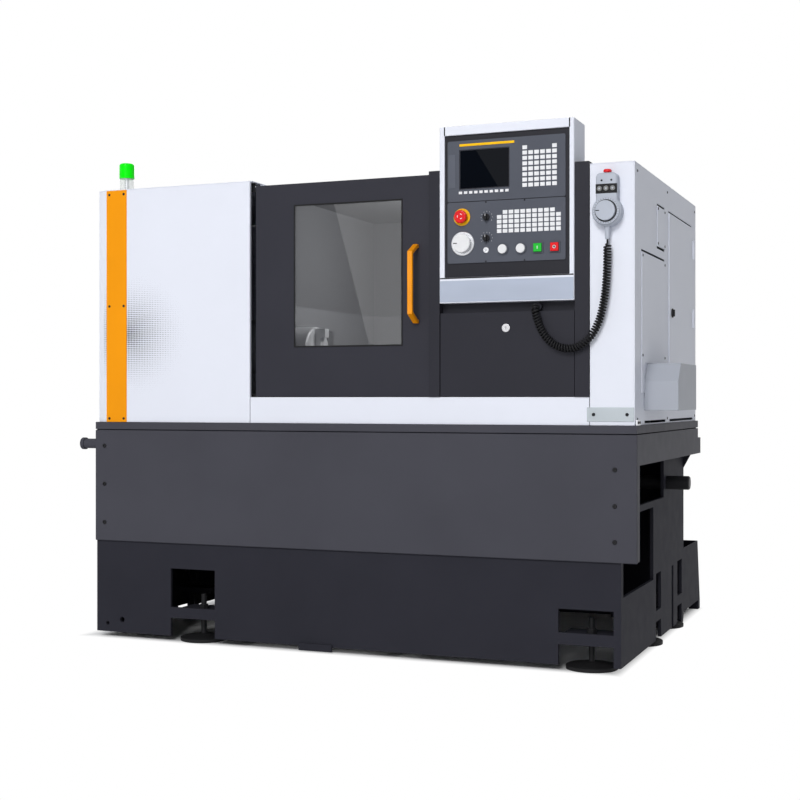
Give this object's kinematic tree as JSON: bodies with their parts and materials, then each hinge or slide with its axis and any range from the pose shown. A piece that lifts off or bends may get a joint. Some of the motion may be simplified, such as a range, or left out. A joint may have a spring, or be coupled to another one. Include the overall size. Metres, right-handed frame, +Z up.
{
  "type": "CNC turning lathe",
  "caption": "Slant-bed turning lathe in a sheet-metal enclosure with a sliding window door, operator console, hand pendant on a curly cord, tool turret and rear coolant tank.",
  "frame": {"origin": "floor level, under the middle of the overall footprint", "axes": "+X to the right seen from the operator, +Y from the operator towards the rear, +Z up"},
  "size_m": [2.188, 1.563, 1.766],
  "materials": {
    "white_paint": "satin",
    "charcoal_paint": "satin",
    "orange_paint": "satin",
    "fascia_paint": "satin",
    "panel_grey": "matte",
    "key_white": "matte",
    "screen_black": "gloss",
    "window_glass": "gloss",
    "plate_grey": "satin",
    "steel": "brushed",
    "cast_grey": "rough",
    "zinc": "satin",
    "black_steel": "satin",
    "cord_rubber": "matte",
    "pad_rubber": "matte",
    "red_plastic": "gloss",
    "yellow_plastic": "matte",
    "green_plastic": "gloss",
    "white_plastic": "matte",
    "pendant_grey": "matte",
    "black_plastic": "matte",
    "lamp_green": "gloss",
    "pump_blue": "satin"
  },
  "bodies": {
    "machine": {"access_panels": "white_paint", "base_frame": "charcoal_paint", "bed": "cast_grey", "cabinet_shell": "white_paint", "console_fascia": "fascia_paint", "console_frame": "charcoal_paint", "console_housing": "white_paint", "coolant_pump": "pump_blue", "coolant_tank": "charcoal_paint", "corner_plate": "plate_grey", "cover_screws": "zinc", "display_bezel": "panel_grey", "display_glass": "screen_black", "door_rails": "steel", "drain_pipe": "black_steel", "drip_tray": "charcoal_paint", "e_stop_ring": "yellow_plastic", "front_apron": "charcoal_paint", "headstock": "cast_grey", "headstock_cover": "white_paint", "lamp_base": "white_plastic", "lamp_lens": "lamp_green", "level_fasteners": "zinc", "level_pads": "pad_rubber", "lifting_bar": "black_steel", "operator_plate": "panel_grey", "panel_keys": "key_white", "pendant_body": "pendant_grey", "pendant_cord": "cord_rubber", "right_front_panel": "white_paint", "right_side_panel": "white_paint", "side_hood": "white_paint", "sill_panel": "white_paint", "storage_door": "charcoal_paint", "trim_strip": "orange_paint", "window_blanks": "charcoal_paint", "z_motor": "black_steel", "z_rails": "steel"},
    "door": {"door_panel": "charcoal_paint", "door_window": "window_glass", "door_handle": "orange_paint"},
    "spindle": {"spindle": "steel", "chuck": "steel"},
    "carriage": {"saddle": "cast_grey"},
    "cross_slide": {"turret_slide": "cast_grey"},
    "turret": {"turret_disc": "steel"},
    "z_screw": {"z_screw": "steel"},
    "storage_lock": {"storage_lock": "steel"},
    "electrical_door": {"electrical_door": "white_paint"},
    "electrical_latch": {"electrical_latch": "black_steel"},
    "e_stop": {"e_stop_button": "red_plastic"},
    "handwheel": {"handwheel": "white_plastic"},
    "selector_upper": {"selector_upper": "black_plastic"},
    "selector_lower": {"selector_lower": "black_plastic"},
    "button_white_left": {"button_white_left": "white_plastic"},
    "button_white_right": {"button_white_right": "white_plastic"},
    "button_green": {"button_green": "green_plastic"},
    "button_red": {"button_red": "red_plastic"},
    "pendant_dial": {"pendant_dial": "pendant_grey"},
    "pendant_stop": {"pendant_stop": "red_plastic"}
  },
  "joints": [
    {"name": "door_slide", "type": "slide", "parent": "machine", "child": "door", "axis": [-1, 0, 0], "range_m": [0, 0.55]},
    {"name": "spindle_spin", "type": "hinge", "parent": "machine", "child": "spindle", "pos_m": [-0.351, -0.4015, 1.03], "axis": [1, 0, 0], "continuous": true},
    {"name": "carriage_z", "type": "slide", "parent": "machine", "child": "carriage", "axis": [-1, 0, 0], "range_m": [0, 0.45]},
    {"name": "cross_x", "type": "slide", "parent": "carriage", "child": "cross_slide", "axis": [0, -0.866, -0.5], "range_m": [0, 0.2]},
    {"name": "turret_index", "type": "hinge", "parent": "cross_slide", "child": "turret", "pos_m": [0.31, -0.08886, 1.2105], "axis": [1, 0, 0], "continuous": true},
    {"name": "z_screw_spin", "type": "hinge", "parent": "machine", "child": "z_screw", "pos_m": [-0.235, -0.30284, 0.87911], "axis": [1, 0, 0], "range_deg": [0, 8100]},
    {"name": "storage_lock_turn", "type": "hinge", "parent": "machine", "child": "storage_lock", "pos_m": [0.563, -0.7255, 1.1], "axis": [0, -1, 0], "range_deg": [0, 90]},
    {"name": "electrical_door_swing", "type": "hinge", "parent": "machine", "child": "electrical_door", "pos_m": [0.99, 0.28622, 1.175], "axis": [0, 0, 1], "range_deg": [0, 100]},
    {"name": "electrical_latch_turn", "type": "hinge", "parent": "electrical_door", "child": "electrical_latch", "pos_m": [0.984, -0.12895, 1.17291], "axis": [1, 0, 0], "range_deg": [0, 90]},
    {"name": "e_stop_press", "type": "slide", "parent": "machine", "child": "e_stop", "axis": [0, 1, 0], "range_m": [0, 0.005], "stiffness_N_per_m": 800},
    {"name": "handwheel_turn", "type": "hinge", "parent": "machine", "child": "handwheel", "pos_m": [0.416, -0.7275, 1.379], "axis": [0, -1, 0], "continuous": true},
    {"name": "selector_upper_turn", "type": "hinge", "parent": "machine", "child": "selector_upper", "pos_m": [0.498, -0.7275, 1.462], "axis": [0, -1, 0], "range_deg": [-60, 60]},
    {"name": "selector_lower_turn", "type": "hinge", "parent": "machine", "child": "selector_lower", "pos_m": [0.498, -0.7275, 1.394], "axis": [0, -1, 0], "range_deg": [-60, 60]},
    {"name": "button_white_left_press", "type": "slide", "parent": "machine", "child": "button_white_left", "axis": [0, 1, 0], "range_m": [0, 0.003], "stiffness_N_per_m": 400},
    {"name": "button_white_right_press", "type": "slide", "parent": "machine", "child": "button_white_right", "axis": [0, 1, 0], "range_m": [0, 0.003], "stiffness_N_per_m": 400},
    {"name": "button_green_press", "type": "slide", "parent": "machine", "child": "button_green", "axis": [0, 1, 0], "range_m": [0, 0.003], "stiffness_N_per_m": 400},
    {"name": "button_red_press", "type": "slide", "parent": "machine", "child": "button_red", "axis": [0, 1, 0], "range_m": [0, 0.003], "stiffness_N_per_m": 400},
    {"name": "pendant_dial_turn", "type": "hinge", "parent": "machine", "child": "pendant_dial", "pos_m": [0.902, -0.7615, 1.458], "axis": [0, -1, 0], "continuous": true},
    {"name": "pendant_stop_press", "type": "slide", "parent": "machine", "child": "pendant_stop", "axis": [0, 0, -1], "range_m": [0, 0.003], "stiffness_N_per_m": 400}
  ],
  "couplings": [
    {"joint": "z_screw_spin", "follows": "carriage_z", "rad_per_m": 314.16}
  ]
}
